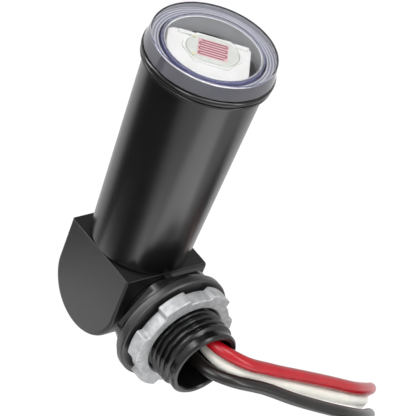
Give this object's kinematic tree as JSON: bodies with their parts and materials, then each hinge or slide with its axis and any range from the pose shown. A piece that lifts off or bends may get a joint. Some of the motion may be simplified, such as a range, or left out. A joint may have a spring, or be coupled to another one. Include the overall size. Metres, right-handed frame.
{
  "type": "photocell light switch",
  "caption": "Stem-mounted photocell light switch: clear-capped tapered tube on an elbow with a threaded conduit nipple, gasket, locknut and three leads.",
  "frame": {"origin": "centre of the gasket's seating face, on the nipple's axis, where the switch meets the panel or box it is fixed to", "axes": "+X along the nipple, out of its mouth; +Z along the tube, towards the lens; +Y completes the right-handed set"},
  "size_m": [0.0669, 0.1106, 0.1442],
  "materials": {
    "moulded_body": "black, fine matt texture",
    "moulded_tube": "black, semi-gloss",
    "moulded_nipple": "black, semi-matt",
    "seal_rubber": "black, satin",
    "gasket_rubber": "black, matt",
    "clear_lens": "clear plastic, polished, faint violet tint",
    "zinc_casting": "as cast, satin grey",
    "board_laminate": "green lacquer",
    "relay_case": "blue, moulded",
    "film_coating": "yellow, dipped",
    "capacitor_sleeve": "dark shrink sleeve",
    "black_epoxy": "black, moulded",
    "varistor_coating": "blue, dipped",
    "resistor_lacquer": "tan lacquer",
    "diode_glass": "amber glass",
    "white_carrier": "white, moulded",
    "cell_ceramic": "pale, lacquered, pink tracks",
    "tinned_wire": "tinned",
    "red_insulation": "red, semi-gloss",
    "white_insulation": "off-white, semi-gloss",
    "black_insulation": "black, semi-gloss",
    "bare_copper": "bare copper strands"
  },
  "bodies": {
    "root": {"elbow_body": "moulded_body", "housing_tube": "moulded_tube", "lens_seal": "seal_rubber", "lens_cap": "clear_lens", "nipple": "moulded_nipple", "gasket": "gasket_rubber", "locknut": "zinc_casting", "circuit_board": "board_laminate", "relay": "relay_case", "film_capacitor": "film_coating", "filter_capacitor": "capacitor_sleeve", "bridge_rectifier": "black_epoxy", "surge_varistor": "varistor_coating", "dropper_resistor": "resistor_lacquer", "bleed_resistor": "resistor_lacquer", "bias_resistor": "resistor_lacquer", "transistor": "black_epoxy", "zener_diode": "diode_glass", "cell_carrier": "white_carrier", "light_cell": "cell_ceramic", "cell_lead_left": "tinned_wire", "cell_lead_right": "tinned_wire", "red_lead": "red_insulation", "white_lead": "white_insulation", "black_lead": "black_insulation", "red_lead_core": "bare_copper", "white_lead_core": "bare_copper", "black_lead_core": "bare_copper"}
  },
  "joints": []
}
